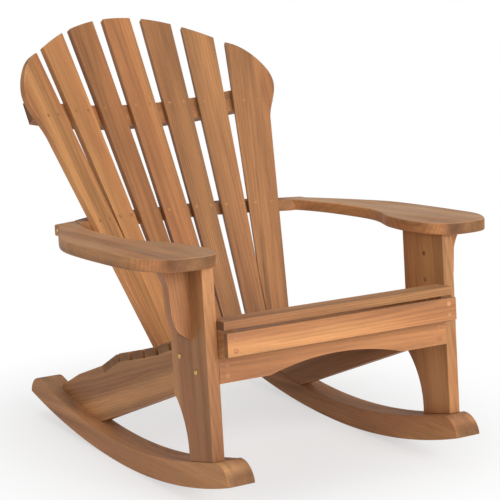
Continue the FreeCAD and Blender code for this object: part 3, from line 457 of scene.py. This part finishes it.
def useGroup(tree, group, **given):
    node = addNode(tree, "ShaderNodeGroup", node_tree=group)
    for name, value in given.items():
        title = "".join(" " + letter if letter.isupper() else letter for letter in name).strip()
        feed(tree, node.inputs[title], value)
    return node.outputs


def tinted(color, light):
    return tuple(part * light for part in color[:3]) + (1.0,)


def startMaterial(name):
    material = bpy.data.materials.new(name)
    material.use_nodes = True
    tree = material.node_tree
    tree.nodes.clear()
    shader = addNode(tree, "ShaderNodeBsdfPrincipled")
    out = addNode(tree, "ShaderNodeOutputMaterial")
    feed(tree, out.inputs["Surface"], shader.outputs[0])
    return material, tree, shader


def bumped(tree, shader, height, strength, distance):
    bump = addNode(tree, "ShaderNodeBump")
    bump.inputs["Strength"].default_value = strength
    bump.inputs["Distance"].default_value = distance
    feed(tree, bump.inputs["Height"], height)
    feed(tree, shader.inputs["Normal"], bump.outputs[0])


def woodMaterial(name, turn, middle, look, seed):
    material, tree, shader = startMaterial(name)
    coords = addNode(tree, "ShaderNodeTexCoord")
    vector = placed(tree, coords.outputs["Object"], turn, -(turn @ middle))
    facing = placed(tree, coords.outputs["Normal"], turn)
    body = linearColor(*teak["body"])
    heart = linearColor(*teak["heart"])
    share = look["heart"]
    base = [b + (h - b) * share for b, h in zip(body, heart)]
    grain = useGroup(tree, grainGroup, Vector=vector, Facing=facing, Seed=seed,
                     PithSide=look["pith"][0], PithDepth=look["pith"][1],
                     RingWidth=teak["ringWidth"], Color=tinted(base, look["light"]),
                     StreakColor=tinted(heart, look["light"]), Streaks=look["streaks"])
    wear = useGroup(tree, wearGroup, Vector=vector, Seed=seed)
    # faces that look up are painted paler: dry weathering and painted sheen
    drySheen = useGroup(tree, drySheenGroup, Vector=vector, Seed=seed)
    drySheenMask = calc(tree, "MULTIPLY", drySheen["Mask"], look.get("dry", teak["dryAndSheenShare"]))
    color = blendColor(tree, drySheenMask, grain["Color"], linearColor(*teak["dry"]))
    color = blendColor(tree, calc(tree, "MULTIPLY", wear["Mask"], wearSettings["share"]), color,
                       linearColor(*teak["worn"]))
    feed(tree, shader.inputs["Base Color"], color)
    feed(tree, shader.inputs["Roughness"], grain["Roughness"])
    shader.inputs["Specular IOR Level"].default_value = teak["gloss"]
    bumped(tree, shader, grain["Height"], teak["bumpStrength"], teak["bumpDepth"])
    return material


def dress(item, material):
    if item.data.materials:
        for index in range(len(item.data.materials)):
            item.data.materials[index] = material
    else:
        item.data.materials.append(material)


for seed, (board, look) in enumerate(sorted(boardLooks.items())):
    turn, middle = boardTurn(nodes[board])
    dress(nodes[board], woodMaterial(board + "_teak", turn, middle, look, teak["seedStep"] * seed))
print("chair: wood on", len(boardLooks), "boards")


# plugs over the sunk screws

plugSettings = {
    "color": (184, 128, 82),
    "heart": (170, 108, 66),
    "ringWidth": 0.0022,
}


def plugMaterial():
    material, tree, shader = startMaterial("teakPlug")
    coords = addNode(tree, "ShaderNodeTexCoord")
    body = linearColor(*plugSettings["color"])
    grain = useGroup(tree, grainGroup, Vector=coords.outputs["Object"],
                     Facing=coords.outputs["Normal"], Seed=5.0, PithSide=0.3, PithDepth=0.1,
                     RingWidth=plugSettings["ringWidth"], Color=body,
                     StreakColor=linearColor(*plugSettings["heart"]), Streaks=0.3)
    feed(tree, shader.inputs["Base Color"], grain["Color"])
    feed(tree, shader.inputs["Roughness"], grain["Roughness"])
    bumped(tree, shader, grain["Height"], teak["bumpStrength"], teak["bumpDepth"])
    return material


# brass: bright on the bolts, dulled to near the wood's colour on the screws in the back

brassLooks = {
    "bright": {"color": (226, 188, 118), "dark": (150, 112, 60), "rough": 0.30},
    "brown": {"color": (206, 152, 100), "dark": (160, 112, 70), "rough": 0.60},
}


def brassMaterial(name):
    look = brassLooks[name]
    material, tree, shader = startMaterial(name + "Brass")
    coords = addNode(tree, "ShaderNodeTexCoord")
    tarnish = cloud(tree, coords.outputs["Object"], 2.0, (260.0, 260.0, 260.0), 4.0, 0.6)
    scratches = cloud(tree, coords.outputs["Object"], 4.0, (300.0, 2400.0, 300.0), 2.0)
    mask = remap(tree, tarnish, 0.42, 0.68, 0.0, 0.8)
    feed(tree, shader.inputs["Base Color"],
         blendColor(tree, mask, linearColor(*look["color"]), linearColor(*look["dark"])))
    rough = remap(tree, tarnish, 0.3, 0.7, look["rough"], look["rough"] + 0.2)
    feed(tree, shader.inputs["Roughness"], rough)
    shader.inputs["Metallic"].default_value = 1.0
    bumped(tree, shader, scratches, 0.3, 0.0001)
    return material


plugWood = plugMaterial()
brightBrass = brassMaterial("bright")
brownBrass = brassMaterial("brown")
brownNodes = ("upper_back_screws", "middle_back_screws", "lower_back_screws", "lower_rail_screws")
for name, item in nodes.items():
    if name.endswith("_plugs"):
        dress(item, plugWood)
    elif name in brownNodes:
        dress(item, brownBrass)
    elif name not in boardLooks:
        dress(item, brightBrass)
print("chair: plugs and brass done")
